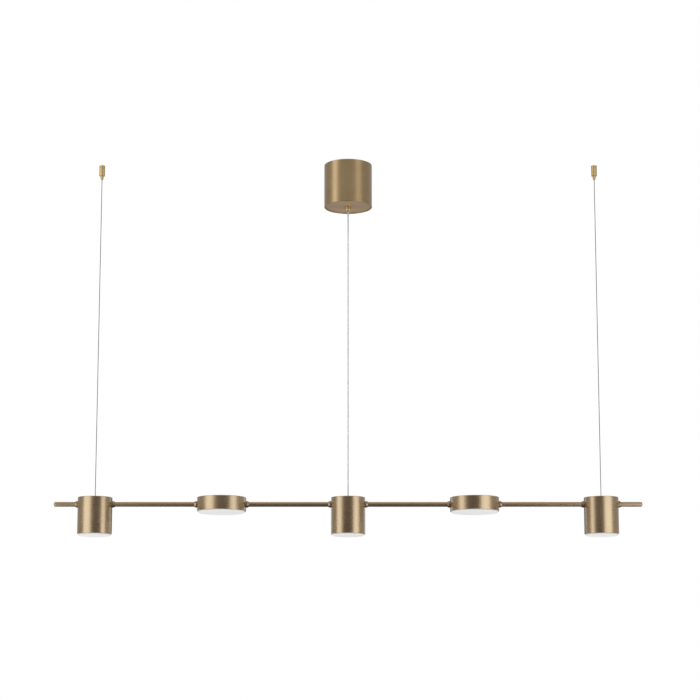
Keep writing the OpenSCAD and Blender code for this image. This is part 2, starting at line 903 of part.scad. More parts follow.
module disc_housing(x) {
    outline = concat(
        [[0, disc_top]],
        arc(disc_r - edge_r, disc_top - edge_r, edge_r, 90, 0, 3),
        [[disc_r, disc_bottom + 0.3], [disc_r - 0.3, disc_bottom], [disc_bore, disc_bottom]],
        groove(disc_bore, disc_bottom + disc_bead),
        [[disc_bore, disc_top - top_plate], [0, disc_top - top_plate]]);
    color("darkgoldenrod")
        difference() {
            union() {
                translate([x, 0, 0])
                    turned(outline);
                both_sides(x, disc_r - disc_pad_depth)
                    cylinder(h = disc_pad_depth + pad_h, r = collar_r);
                for (i = [0:3])
                    translate([x, 0, carrier_top])
                        rotate([0, 0, 90 * i + 45])
                            translate([disc_boss_place, 0, 0])
                                cylinder(h = disc_top - top_plate / 2 - carrier_top, r = 3.5);
            }
            both_sides(x, disc_r - disc_pad_depth - 1)
                cylinder(h = disc_pad_depth + pad_h + 2, r = axle_r + run_gap);
            for (i = [0:3])
                translate([x, 0, carrier_top - 1])
                    rotate([0, 0, 90 * i + 45])
                        translate([disc_boss_place, 0, 0])
                            cylinder(h = 7, r = screw_r + thread_gap);
        }
}

module disc_carrier(x) {
    color("silver")
        translate([x, 0, carrier_top - carrier_t])
            difference() {
                cylinder(h = carrier_t, r = carrier_r);
                translate([0, 0, -1])
                    cylinder(h = carrier_t + 2, r = 3);
                for (i = [0:3])
                    rotate([0, 0, 90 * i + 45])
                        translate([disc_boss_place, 0, -1])
                            cylinder(h = carrier_t + 2, r = screw_r + seat_gap);
            }
}

module disc_led_board(x) {
    lead_h = carrier_t + 1;
    color("ivory")
        translate([x, 0, disc_board_top - board_t]) {
            difference() {
                union() {
                    cylinder(h = board_t, r = carrier_r - 1.5);
                    chips([[12, 8], [24, 14], [34, 20]]);
                }
                for (i = [0:3])
                    rotate([0, 0, 90 * i + 45])
                        translate([disc_boss_place, 0, -1])
                            cylinder(h = board_t + 2, r = screw_r + seat_gap);
            }
            translate([0, 0, board_t - 0.2])
                cylinder(h = lead_h + 0.2, r = 0.9);
        }
}

module disc_screws(x) {
    color("silver")
        for (i = [0:3])
            translate([x, 0, disc_board_top - board_t])
                rotate([0, 0, 90 * i + 45])
                    translate([disc_boss_place, 0, 0]) {
                        translate([0, 0, -0.6])
                            cylinder(h = 0.6, r = 2.6);
                        translate([0, 0, -0.3])
                            cylinder(h = 0.3 + board_t + carrier_t + 5, r = screw_r);
                    }
}

module left_gripper_body() { gripper_body(-wire_x); }
module right_gripper_body() { gripper_body(wire_x); }
module left_release_spring() { release_spring(-wire_x); }
module right_release_spring() { release_spring(wire_x); }
module left_release_nose() { release_nose(-wire_x); }
module right_release_nose() { release_nose(wire_x); }
module left_grip_balls() { grip_balls(-wire_x); }
module right_grip_balls() { grip_balls(wire_x); }
module left_wire() { wire(-wire_x); }
module right_wire() { wire(wire_x); }
module left_cylinder_housing() { cylinder_head(-wire_x, bush_r); }
module centre_cylinder_housing() { cylinder_head(0, gland_r); }
module right_cylinder_housing() { cylinder_head(wire_x, bush_r); }
module left_cylinder_diffuser() { diffuser(-wire_x, cyl_bore, cyl_bottom, cyl_bead, cyl_skirt); }
module centre_cylinder_diffuser() { diffuser(0, cyl_bore, cyl_bottom, cyl_bead, cyl_skirt); }
module right_cylinder_diffuser() { diffuser(wire_x, cyl_bore, cyl_bottom, cyl_bead, cyl_skirt); }
module left_disc_housing() { disc_housing(-head_pitch); }
module left_disc_carrier() { disc_carrier(-head_pitch); }
module left_disc_led_board() { disc_led_board(-head_pitch); }
module left_disc_screws() { disc_screws(-head_pitch); }
module left_disc_diffuser() { diffuser(-head_pitch, disc_bore, disc_bottom, disc_bead, disc_skirt); }
module right_disc_housing() { disc_housing(head_pitch); }
module right_disc_carrier() { disc_carrier(head_pitch); }
module right_disc_led_board() { disc_led_board(head_pitch); }
module right_disc_screws() { disc_screws(head_pitch); }
module right_disc_diffuser() { diffuser(head_pitch, disc_bore, disc_bottom, disc_bead, disc_skirt); }

ceiling_bracket();
earth_screw();
terminal_block();
canopy_tube();
canopy_base_plate();
canopy_side_screws();
driver_case();
driver_lid();
driver_board();
driver_input_lead();
feed_cable_tail();
grip_nipple();
grip_lock_nut();
grip_body();
grip_sleeve();
grip_grub_screw();
anchor_bases();
left_gripper_body();
right_gripper_body();
left_release_spring();
right_release_spring();
wire_tails();
left_release_nose();
left_grip_balls();
right_release_nose();
right_grip_balls();
wire_top_balls();
left_wire();
right_wire();
cable_swivel_ball();
feed_cable();
wire_bushes();
cable_gland();
end_rods();
link_rods();
rod_collars();
swivel_washers();
cylinder_cross_tubes();
cross_tube_nuts();
disc_axles();
bar_harness();
left_cylinder_housing();
centre_cylinder_housing();
right_cylinder_housing();
left_cylinder_diffuser();
centre_cylinder_diffuser();
right_cylinder_diffuser();
cylinder_heat_sinks();
cylinder_led_boards();
head_board_screws();
left_disc_housing();
left_disc_carrier();
left_disc_led_board();
left_disc_screws();
left_disc_diffuser();
right_disc_housing();
right_disc_carrier();
right_disc_led_board();
right_disc_screws();
right_disc_diffuser();
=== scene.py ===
# %% [markdown]
# # A brass pendant light, dressed on its CAD frame
# The object is a straight brass bar with five lamp heads: three upright cylinders and two flat
# discs. Two steel wires carry it and a feed cable brings the power down from a round canopy.
# The CAD model already fixes every size and place. This script loads it as a frame and gives each
# piece the form and the finish that a camera sees: rounded edges, brushed metal, opal plastic.

# %% Load the frame
import math

import bpy
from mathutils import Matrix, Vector


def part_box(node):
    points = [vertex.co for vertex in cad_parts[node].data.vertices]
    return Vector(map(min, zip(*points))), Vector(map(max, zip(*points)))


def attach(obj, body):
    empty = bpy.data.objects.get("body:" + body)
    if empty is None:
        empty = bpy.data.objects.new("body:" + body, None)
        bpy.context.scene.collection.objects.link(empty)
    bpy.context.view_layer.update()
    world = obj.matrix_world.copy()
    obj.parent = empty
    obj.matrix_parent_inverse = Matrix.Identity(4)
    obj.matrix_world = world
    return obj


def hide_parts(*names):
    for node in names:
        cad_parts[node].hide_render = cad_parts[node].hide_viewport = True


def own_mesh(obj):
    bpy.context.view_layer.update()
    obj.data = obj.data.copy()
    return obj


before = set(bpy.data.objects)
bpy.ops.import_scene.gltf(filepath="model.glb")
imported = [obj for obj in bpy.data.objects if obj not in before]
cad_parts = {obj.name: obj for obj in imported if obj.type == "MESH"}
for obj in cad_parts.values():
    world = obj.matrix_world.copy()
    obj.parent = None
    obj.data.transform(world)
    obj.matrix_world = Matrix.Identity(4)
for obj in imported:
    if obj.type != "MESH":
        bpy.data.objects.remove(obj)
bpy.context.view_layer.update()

MM = 0.001

# %% [markdown]
# ## Camera
# The photograph was taken from a little below the bar, some 3.5 m away, so the canopy's underside
# shows clearly and the diffusers show as slivers. A small upward tilt with a slightly shifted
# lens gives that view and keeps the wires nearly parallel.

# %% Camera at the photograph's viewing angle
CAMERA_AT = (0, -3.5, -1.087)
TILT = 8.42
LENS = 88.7
bpy.ops.object.select_all(action="DESELECT")
bpy.ops.object.camera_add(location=CAMERA_AT, rotation=(math.radians(90 + TILT), 0, 0))
camera = bpy.context.object
camera.data.lens = LENS
camera.data.shift_x, camera.data.shift_y = 0.0027, 0.12
camera.data.clip_end = 100
bpy.context.scene.camera = camera
print("camera lens", camera.data.lens, "mm, tilted up", TILT, "degrees")

# %% [markdown]
# ## Small helpers
# The heads, rods, canopy and grippers are all turned pieces. On a lathe they would be cut from an
# outline, so a helper builds them the same way: a ring of edges is extruded from point to point of
# the outline. A second helper rounds the corners of an outline, because a real edge is never
# perfectly sharp, and the thin highlight along it is what makes metal look real.

# %% Outlines with rounded corners
def span(node):
    """Lowest and highest corner of a CAD node, in millimetres."""
    low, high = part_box(node)
    return Vector(low) / MM, Vector(high) / MM


def rounded(corners, steps=4, hold=0.2):
    """Points of an outline whose corners are (radius, height) or (radius, height, rounding).

    A ring just before and just after each curve keeps the flat faces beside it flat.
    """
    points = []
    for i, corner in enumerate(corners):
        here = Vector(corner[:2])
        if len(corner) == 2:
            points.append(here)
            continue
        before = (Vector(corners[i - 1][:2]) - here).normalized()
        after = (Vector(corners[(i + 1) % len(corners)][:2]) - here).normalized()
        size = corner[2]
        points.append(here + before * (size + hold))
        for step in range(steps + 1):
            t = step / steps
            points.append(here + before * size * (1 - t) ** 2 + after * size * t**2)
        points.append(here + after * (size + hold))
    return points


# %% Turned pieces
SMOOTH_ANGLE = 35
MERGE_WITHIN = 0.004
MOST_SIDES = 20


def alone(obj):
    """Selects this object and nothing else, and makes it the active one."""
    bpy.ops.object.select_all(action="DESELECT")
    obj.select_set(True)
    bpy.context.view_layer.objects.active = obj


def settle(obj, angle=SMOOTH_ANGLE):
    """Merges doubles, closes holes, turns the faces outwards and shades smooth up to an angle.

    A face with very many sides, such as a round cap, is split up from its middle.
    """
    alone(obj)
    bpy.ops.object.mode_set(mode="EDIT")
    bpy.ops.mesh.select_all(action="SELECT")
    bpy.ops.mesh.remove_doubles(threshold=MERGE_WITHIN * MM)
    bpy.ops.mesh.fill_holes(sides=0)
    bpy.ops.mesh.select_all(action="DESELECT")
    bpy.ops.mesh.select_face_by_sides(number=MOST_SIDES, type="GREATER")
    bpy.ops.mesh.poke()
    bpy.ops.mesh.select_all(action="SELECT")
    bpy.ops.mesh.normals_make_consistent(inside=False)
    bpy.ops.object.mode_set(mode="OBJECT")
    bpy.ops.object.shade_smooth_by_angle(angle=math.radians(angle))
    return obj


def place(obj, offset=(0, 0, 0), turn=(0, 0, 0)):
    """Turns and moves a piece, and puts the place in its mesh."""
    alone(obj)
    obj.rotation_euler = [math.radians(a) for a in turn]
    obj.location = Vector(offset) * MM
    bpy.ops.object.transform_apply(location=True, rotation=True, scale=True)
    return obj


def turned(name, corners, sides=128, steps=4):
    """A turned piece about the vertical through the origin.

    An outline that starts and ends off the axis is closed to a ring.
    """
    points = rounded(corners, steps)
    closed = corners[0][0] > 0
    if closed:
        points.append(points[0])
    else:
        points = points[1:-1]
    radius, height = points[0]
    bpy.ops.object.select_all(action="DESELECT")
    bpy.ops.mesh.primitive_circle_add(
        vertices=sides, radius=radius * MM, location=(0, 0, height * MM), fill_type="NOTHING"
    )
    obj = bpy.context.object
    obj.name = obj.data.name = name
    bpy.ops.object.mode_set(mode="EDIT")
    for next_radius, next_height in points[1:]:
        bpy.ops.mesh.extrude_region_move(
            TRANSFORM_OT_translate={"value": (0, 0, (next_height - height) * MM)}
        )
        scale = next_radius / radius
        bpy.ops.transform.resize(value=(scale, scale, 1), center_override=(0, 0, next_height * MM))
        radius, height = next_radius, next_height
    bpy.ops.object.mode_set(mode="OBJECT")
    place(obj, Vector(obj.location) / MM)
    return settle(obj)


# %% Copies, joined pieces and cuts
def copied(obj, name, offset=(0, 0, 0), turn=(0, 0, 0)):
    """A copy of a piece with its own mesh, turned about the origin and then moved."""
    alone(obj)
    bpy.ops.object.duplicate()
    copy = bpy.context.object
    copy.name = copy.data.name = name
    return place(copy, offset, turn)


def joined(name, pieces):
    """Several pieces as one object."""
    alone(pieces[0])
    for piece in pieces[1:]:
        piece.select_set(True)
    bpy.ops.object.join()
    pieces[0].name = pieces[0].data.name = name
    return pieces[0]


def combine(obj, others, operation):
    """Adds other closed pieces to this one, or cuts them out of it, and removes them."""
    alone(obj)
    for other in others:
        modifier = obj.modifiers.new(operation.lower(), "BOOLEAN")
        modifier.operation = operation
        modifier.solver = "EXACT"
        modifier.object = other
        bpy.ops.object.modifier_apply(modifier=modifier.name)
        bpy.data.objects.remove(other)
    bpy.ops.object.shade_smooth_by_angle(angle=math.radians(SMOOTH_ANGLE))
    return obj


# %% [markdown]
# ## The two steel wires
# Each wire is a 1.5 mm steel strand: six thin wires twisted round a seventh. The lens sees it only
# as a grey line, but close by the twist is what tells a wire rope from a rod. A ring with six
# lobes is drawn once, and a Screw modifier winds it up along the whole length.

# %% Route of the wires
ROUTE_STEPS = 24
STOP_BALL_R = 1.8
wire_low, wire_high = span("right_wire")
wire_x = (wire_low.x + wire_high.x) / 2
wire_top, wire_bottom = wire_high.z, wire_low.z + STOP_BALL_R
print("wire from", round(wire_top, 2), "to", round(wire_bottom, 2), "at x", round(wire_x, 2))


def straight(x, top, bottom):
    """Points of a taut vertical line, in metres."""
    return [
        (x * MM, 0, (top + (bottom - top) * i / ROUTE_STEPS) * MM) for i in range(ROUTE_STEPS + 1)
    ]


# %% Wires
LAY_TURNS = 75
STEPS_PER_TURN = 12
THIN_WIRE_R = 0.25
THIN_WIRES_AT = 0.5
INTO_TOP_BALL = 0.7


def strand_radius(angle):
    """Distance from the middle of a strand of six wires to its surface, in millimetres."""
    off = (angle + math.pi / 6) % (math.pi / 3) - math.pi / 6
    beside = THIN_WIRES_AT * math.sin(off)
    return THIN_WIRES_AT * math.cos(off) + math.sqrt(max(0, THIN_WIRE_R**2 - beside**2))


def wound(name, obj, turns, top, bottom):
    """Winds a ring up from height 0, as far as the line from bottom to top is long."""
    modifier = obj.modifiers.new("winding", "SCREW")
    modifier.axis = "Z"
    modifier.angle = math.radians(360)
    modifier.screw_offset = (top - bottom) / turns * MM
    modifier.iterations = turns
    modifier.steps = modifier.render_steps = STEPS_PER_TURN
    alone(obj)
    bpy.ops.object.modifier_apply(modifier=modifier.name)
    obj.name = obj.data.name = name
    return settle(obj, 75)


bpy.ops.object.select_all(action="DESELECT")
bpy.ops.mesh.primitive_circle_add(vertices=36, radius=MM, fill_type="NOTHING")
strand = bpy.context.object
for point in strand.data.vertices:
    angle = math.atan2(point.co.y, point.co.x)
    point.co = point.co.normalized() * strand_radius(angle) * MM
# The wire runs on to the middle of the small ball that it swings on
wound("left_steel_wire", strand, LAY_TURNS, wire_top + INTO_TOP_BALL, wire_bottom)
left_steel_wire = place(strand, (-wire_x, 0, wire_bottom))
right_steel_wire = copied(left_steel_wire, "right_steel_wire", (2 * wire_x, 0, 0))

bpy.ops.object.select_all(action="DESELECT")
bpy.ops.mesh.primitive_uv_sphere_add(segments=24, ring_count=12, radius=STOP_BALL_R * MM)
left_stop_ball = bpy.context.object
left_stop_ball.name = "left_stop_ball"
place(left_stop_ball, (-wire_x, 0, wire_bottom))
bpy.ops.object.shade_smooth()
right_stop_ball = copied(left_stop_ball, "right_stop_ball", (2 * wire_x, 0, 0))

wires = {
    "left_wire": (left_steel_wire, left_stop_ball, -wire_x),
    "right_wire": (right_steel_wire, right_stop_ball, wire_x),
}
for body, (wire, ball, x) in wires.items():
    route = straight(x, wire_top, wire_bottom)
    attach(wire, body)
    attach(ball, body)
    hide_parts(body)
    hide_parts(body)
print("each wire is", round(wire_top - wire_bottom, 1), "mm long")

# %% [markdown]
# ## The feed cable
# The cable is a clear round sheath, 3 mm across, over two twisted tinned cores. It hangs straight
# from the cord grip to the gland of the middle head. The sheath is turned, and the two
# cores inside it are wound like the wires.

# %% Feed cable
SHEATH_R = 1.5
CORE_R = 0.5
CORE_OFF = 0.55
CORE_TURNS = 30
CORE_INSET = 0.4
cable_low, cable_high = span("feed_cable")
route = straight(0, cable_high.z, cable_low.z)
feed_sheath = turned("feed_cable_sheath", [
    (0, cable_high.z), (SHEATH_R, cable_high.z, 0.1), (SHEATH_R, cable_low.z, 0.1),
    (0, cable_low.z)], 32)
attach(feed_sheath, "feed_cable")
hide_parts("feed_cable")

cores = []
for side in (-1, 1):
    bpy.ops.object.select_all(action="DESELECT")
    bpy.ops.mesh.primitive_circle_add(vertices=12, radius=CORE_R * MM, fill_type="NOTHING")
    core = place(bpy.context.object, (side * CORE_OFF, 0, 0))
    wound("core", core, CORE_TURNS, cable_high.z - CORE_INSET, cable_low.z + CORE_INSET)
    cores.append(place(core, (0, 0, cable_low.z + CORE_INSET)))
feed_cores = joined("feed_cable_cores", cores)
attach(feed_cores, "feed_cable")
print("feed cable is", round(cable_high.z - cable_low.z, 1), "mm long")

# %% [markdown]
# ## Canopy
# The canopy is a drawn brass-plated cup that hides the driver. Its lower edge is rolled over a
# little, and a flat plate sits inside it, 1.2 mm above the edge. Two countersunk screws hold it to
# the ceiling bracket from the sides. The wall is turned from its outline, and the two screw holes
# are cut with a stepped cutter that is turned as well.

# %% Canopy shell and base plate
CANOPY_WALL = 1.5
CANOPY_LIP = 2.5
SIDE_SCREW_Z = -8
PLATE_GAP = 0.02
NIPPLE_HOLE_R = 5.1
canopy_r = span("canopy_tube")[1].x
canopy_low = span("canopy_tube")[0].z
plate_low, plate_high = span("canopy_base_plate")
canopy_shell = turned("canopy_shell", [
    (canopy_r - CANOPY_WALL, 0), (canopy_r, 0, 0.3), (canopy_r, canopy_low, 0.8),
    (canopy_r - CANOPY_LIP, canopy_low, 0.25), (canopy_r - CANOPY_LIP, plate_low.z - PLATE_GAP),
    (canopy_r - CANOPY_WALL, plate_low.z - PLATE_GAP)], sides=160)
holes = []
for turn in (0, 180):
    hole = turned("hole", [(0, 44), (2.1, 44), (2.1, 48.5), (3.85, 50.2), (3.85, 53), (0, 53)], 32)
    holes.append(place(hole, (0, 0, SIDE_SCREW_Z), (0, 90, turn)))
combine(canopy_shell, holes, "DIFFERENCE")
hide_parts("canopy_tube")

base_plate = turned("canopy_plate", [
    (NIPPLE_HOLE_R, plate_low.z, 0.2), (plate_high.x, plate_low.z, 0.3),
    (plate_high.x, plate_high.z, 0.2), (NIPPLE_HOLE_R, plate_high.z, 0.2)], sides=160)
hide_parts("canopy_base_plate")

# %% Cord grip
GRIP_R = 6
THREAD_R = 5.05
SLEEVE_R = 3.6
grip_low = span("grip_body")[0]
grip = turned("cord_grip", [
    (THREAD_R, plate_low.z), (GRIP_R, plate_low.z, 0.2), (GRIP_R, grip_low.z + 4),
    (5.4, grip_low.z + 1.9), (4.1, grip_low.z + 0.5, 0.9), (2.36, grip_low.z, 0.3),
    (1.96, grip_low.z + 1.8), (SLEEVE_R, grip_low.z + 3.3), (SLEEVE_R, plate_low.z - 2.8),
    (THREAD_R, plate_low.z - 2.8)], sides=64)
grub_hole = turned("hole", [(0, 3), (1.05, 3), (1.05, 8), (0, 8)], 24)
combine(grip, [place(grub_hole, (0, 0, plate_low.z - 4.4), (90, 0, 0))], "DIFFERENCE")
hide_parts("grip_body")
for piece in (canopy_shell, base_plate, grip):
    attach(piece, "ceiling")
    print(piece.name, len(piece.data.polygons), "faces")

# %% [markdown]
# ## Wire grippers
# Each wire ends above in a gripper: a turned brass barrel on a base that is screwed to the ceiling.
# Inside, three balls in a sprung nose clamp the wire; its spring is squashed as the nose goes
# up. The barrel has two fine turned grooves, where fingers unscrew it.

# %% Gripper barrels
barrel_low = span("left_gripper_body")[0]
barrel = turned("left_gripper_barrel", [
    (4.75, -2), (6, -2, 0.25), (6, -4.2), (5.7, -4.4), (5.7, -4.8), (6, -5), (6, -5.6), (5.7, -5.8),
    (5.7, -6.2), (6, -6.4), (6, barrel_low.z, 0.5), (3.55, barrel_low.z, 0.15), (3.55, -19.5),
    (2.4, -19.5), (3.3, -13.5), (3.3, -7.8), (1.25, -7.8), (1.25, -6.8), (4.75, -6.8)], sides=64)
place(barrel, (-wire_x, 0, 0))
barrels = {"left": barrel, "right": copied(barrel, "right_gripper_barrel", (2 * wire_x, 0, 0))}

# %% Springs
SPRING_TURNS = 4
SPRING_WIRE_R = 0.2
spring_low, spring_high = span("left_release_spring")
spring_r = (spring_high.x - spring_low.x) / 2 - SPRING_WIRE_R


def piped(name, points, radius):
    """A round wire or lead on one smooth curve through these points, as a mesh."""
    line = bpy.data.curves.new(name, "CURVE")
    line.dimensions = "3D"
    line.bevel_depth = radius * MM
    line.bevel_resolution = 4
    line.resolution_u = 6
    line.use_fill_caps = True
    run = line.splines.new("BEZIER")
    run.bezier_points.add(len(points) - 1)
    for knot, point in zip(run.bezier_points, points):
        knot.co = Vector(point) * MM
        knot.handle_left_type = knot.handle_right_type = "AUTO"
    pipe = bpy.data.objects.new(name, line)
    bpy.context.scene.collection.objects.link(pipe)
    alone(pipe)
    bpy.ops.object.convert(target="MESH")
    return settle(bpy.context.object, 60)


def coil_spring(name, x):
    """A round-wire spring on the vertical through x."""
    count = 12 * SPRING_TURNS
    low, high = spring_low.z + SPRING_WIRE_R, spring_high.z - SPRING_WIRE_R
    points = []
    for i in range(count + 1):
        angle = 2 * math.pi * SPRING_TURNS * i / count
        points.append((x + spring_r * math.cos(angle), spring_r * math.sin(angle),
                       low + (high - low) * i / count))
    return piped(name, points, SPRING_WIRE_R)


springs = []
for side, x in (("left", -wire_x), ("right", wire_x)):
    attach(barrels[side], "ceiling")
    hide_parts(f"{side}_gripper_body")
    spring = coil_spring(f"{side}_nose_spring", x)
    springs.append(spring)
    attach(spring, "ceiling")
    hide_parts(f"{side}_release_spring")
    x * MM
    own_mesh(spring)

# %% [markdown]
# ## Leads inside the canopy
# Two short leads are fixed inside the canopy: the mains lead from the terminal block to the driver,
# and the upper end of the feed cable, from the cord grip round to the driver's far side. They are
# seen only from above. Each one is a pipe on a smooth curve through the points of its CAD route.

# %% Mains lead and feed cable tail
MAINS_LEAD_R = 2
input_lead = piped("driver_mains_lead", [
    (-16, 8.2, -8.1), (-16, 12, -8.1), (-16, 18, -9), (-16, 24, -12), (-16, 26, -19),
    (-16, 26, -28.6)], MAINS_LEAD_R)
cable_tail = piped("feed_cable_upper_end", [
    (0, 0, -93), (0, 0, -82.8), (0, 0, -70), (0, -1, -58), (2, -4, -46), (6, -6, -34),
    (10, -4, -24), (13, 4, -17), (13, 14, -14), (13, 24, -17), (13, 26, -22),
    (13, 26, -28.6)], SHEATH_R)
for lead, node in ((input_lead, "driver_input_lead"), (cable_tail, "feed_cable_tail")):
    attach(lead, "ceiling")
    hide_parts(node)
    print(lead.name, len(lead.data.polygons), "faces")

# %% [markdown]
# ## The bar: rods, end rods and collars
# The bar is four short tubes between the heads and a domed rod at each end. A conical collar
# screws each head to its rod. All of them are turned once, tipped onto the X axis and copied.

# %% Rods and collars
CYLINDER_R, DISC_R = 35, 50
ROD_R, ROD_BORE_R = 5, 4.1
COLLAR_R, COLLAR_BORE_R = 7, 4.05
COLLAR_IN, COLLAR_OUT = 1.1, 5.6
COLLAR_HEIGHT = 4.5
rod_z = (span("link_rods")[0].z + span("link_rods")[1].z) / 2
PITCH = wire_x / 2

link_start = CYLINDER_R + COLLAR_OUT
link_length = PITCH - DISC_R - COLLAR_OUT - link_start
link = turned("link", [
    (ROD_BORE_R, 0, 0.1), (ROD_R, 0, 0.2), (ROD_R, link_length, 0.2),
    (ROD_BORE_R, link_length, 0.1)], sides=64)
place(link, turn=(0, 90, 0))
links = []
for turn in (0, 180):
    for start in (link_start, 2 * PITCH - link_start - link_length):
        links.append(place(copied(link, "link", (start, 0, rod_z)), turn=(0, 0, turn)))
bpy.data.objects.remove(link)
link_tubes = joined("link_tubes", links)

end_start = wire_x + CYLINDER_R + COLLAR_OUT
end_length = span("end_rods")[1].x - end_start
end = turned("end", [
    (0, 13), (ROD_BORE_R, 13), (ROD_BORE_R, 0, 0.1), (ROD_R, 0, 0.2), (ROD_R, end_length, 4),
    (0, end_length)], 64, 6)
place(end, turn=(0, 90, 0))
place(end, (end_start, 0, rod_z))
end_tubes = joined("end_tubes", [end, copied(end, "end", turn=(0, 0, 180))])

collar = turned("collar", [
    (COLLAR_BORE_R, 0, 0.1), (COLLAR_R, 0, 0.3), (COLLAR_R, 0.9, 0.15),
    (5.4, COLLAR_HEIGHT, 0.15), (COLLAR_BORE_R, COLLAR_HEIGHT, 0.1)], sides=64)
place(collar, (0, 0, COLLAR_IN))
place(collar, turn=(0, 90, 0))
collars = []
for x, radius in ((-wire_x, CYLINDER_R), (0, CYLINDER_R), (wire_x, CYLINDER_R),
                  (-PITCH, DISC_R), (PITCH, DISC_R)):
    for turn in (0, 180):
        piece = place(copied(collar, "collar", (radius, 0, 0)), turn=(0, 0, turn))
        collars.append(place(piece, (x, 0, rod_z)))
bpy.data.objects.remove(collar)
cone_collars = joined("cone_collars", collars)
bar_pieces = {"link_rods": link_tubes, "end_rods": end_tubes, "rod_collars": cone_collars}
for node, piece in bar_pieces.items():
    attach(piece, "bar")
    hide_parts(node)
    print(piece.name, len(piece.data.polygons), "faces")

# %% [markdown]
# ## Lamp heads
# A head is a turned cup with a flat top and a 2 mm wall, thicker where a cylinder holds its heat
# sink. Where a rod meets it, a round pad gives the collar a flat seat on the curved wall. The cup
# comes from its outline, and the pads and screw bosses are turned, joined to it, and then
# drilled, as they are on the real casting.

# %% Outline, pads and bosses of a head
HEAD_WALL = 2
TOP_WALL = 2.5
BEAD, BEAD_HEIGHT = 0.3, 1
PAD_OUT = 0.5
SCREW_HOLE_R = 1.5
HEAD_TOP = span("left_cylinder_housing")[1].z


def cup_wall(radius, low, bead):
    """Outline of a head's wall, down its outside and up to the groove for the diffuser's bead."""
    bore = radius - HEAD_WALL
    return [
        (radius, HEAD_TOP, 0.9), (radius, low, 0.3), (bore, low, 0.2), (bore, bead),
        (bore + BEAD, bead), (bore + BEAD, bead + BEAD_HEIGHT), (bore, bead + BEAD_HEIGHT)]


def pads(radius, depth):
    """The two pads and the two rod holes of a head of this radius, on its own axis."""
    inner, outer = radius - depth, radius + PAD_OUT
    outlines = {
        "pad": [(0, inner), (COLLAR_R, inner), (COLLAR_R, outer, 0.2), (0, outer)],
        "hole": [(0, inner - 1), (COLLAR_BORE_R, inner - 1), (COLLAR_BORE_R, radius + 2),
                 (0, radius + 2)],
    }
    made = {}
    for name, outline in outlines.items():
        one = place(turned(name, outline, 64), turn=(0, 90, 0))
        place(one, (0, 0, rod_z))
        made[name] = [one, copied(one, name, turn=(0, 0, 180))]
    return made


def bosses(count, ring_r, start, low, high, radius):
    """Screw bosses in a ring, the first at the angle start, and the screw holes in them."""
    made = {"boss": [], "hole": []}
    for i in range(count):
        angle = math.radians(360 / count * i + start)
        spot = (ring_r * math.cos(angle), ring_r * math.sin(angle), 0)
        boss = turned("boss", [(0, low), (radius, low, 0.2), (radius, high), (0, high)], 32)
        hole = turned("hole", [
            (0, low - 1), (SCREW_HOLE_R, low - 1), (SCREW_HOLE_R, low + 8), (0, low + 8)], 24)
        made["boss"].append(place(boss, spot))
        made["hole"].append(place(hole, spot))
    return made


def finished_head(cup, side, ring):
    """A cup with its pads and bosses joined on and their holes drilled."""
    combine(cup, side["pad"] + ring["boss"], "UNION")
    return combine(cup, side["hole"] + ring["hole"], "DIFFERENCE")


# %% Cylinder heads
WIRE_HOLE_R, CABLE_HOLE_R = 3.55, 4.55
SINK_BORE_R = 31
CYL_LOW = span("left_cylinder_housing")[0].z
CYL_BEAD = CYL_LOW + 4.4
SINK_LOW = CYL_LOW + 25


def cylinder_head(name, hole_r):
    """A cylinder head on its own axis, with a hole for the wire or the cable in its top."""
    cup = turned(name, [
        (hole_r, HEAD_TOP, 0.15), *cup_wall(CYLINDER_R, CYL_LOW, CYL_BEAD),
        (CYLINDER_R - HEAD_WALL, SINK_LOW), (SINK_BORE_R, SINK_LOW),
        (SINK_BORE_R, HEAD_TOP - TOP_WALL), (hole_r, HEAD_TOP - TOP_WALL)])
    side = pads(CYLINDER_R, 6)
    return finished_head(cup, side, bosses(3, 28, 90, SINK_LOW + 0.05, HEAD_TOP - 1.2, 4))


wire_head = cylinder_head("left_cylinder_shell", WIRE_HOLE_R)
shells = {
    "left": wire_head,
    "right": copied(wire_head, "right_cylinder_shell", (wire_x, 0, 0)),
    "centre": cylinder_head("centre_cylinder_shell", CABLE_HOLE_R),
}
place(wire_head, (-wire_x, 0, 0))
for side, shell in shells.items():
    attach(shell, "bar")
    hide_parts(f"{side}_cylinder_housing")
    print(shell.name, len(shell.data.polygons), "faces")

# %% Disc heads
DISC_LOW = span("left_disc_housing")[0].z
DISC_BEAD = DISC_LOW + 2.4
disc_cup = turned("left_disc_shell", [
    (0, HEAD_TOP), *cup_wall(DISC_R, DISC_LOW, DISC_BEAD),
    (DISC_R - HEAD_WALL, HEAD_TOP - TOP_WALL), (0, HEAD_TOP - TOP_WALL)], sides=160)
side = pads(DISC_R, 8)
finished_head(disc_cup, side, bosses(4, 36, 45, rod_z - 5.45, HEAD_TOP - 1.2, 3.5))
disc_shells = {"left": disc_cup, "right": copied(disc_cup, "right_disc_shell", (PITCH, 0, 0))}
place(disc_cup, (-PITCH, 0, 0))
for side, shell in disc_shells.items():
    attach(shell, f"{side}_disc")
    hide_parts(f"{side}_disc_housing")
    print(shell.name, len(shell.data.polygons), "faces")

# %% [markdown]
# ## Diffusers
# An opal cup closes each head. Its flat face stands a few millimetres below the metal rim, with a
# soft round edge that catches the light as a thin bright line, and a bead on its skirt snaps in.

# %% Opal diffusers
DIFFUSER_GAP = 0.1
DIFFUSER_DROP = 3.5
OPAL_WALL = 2


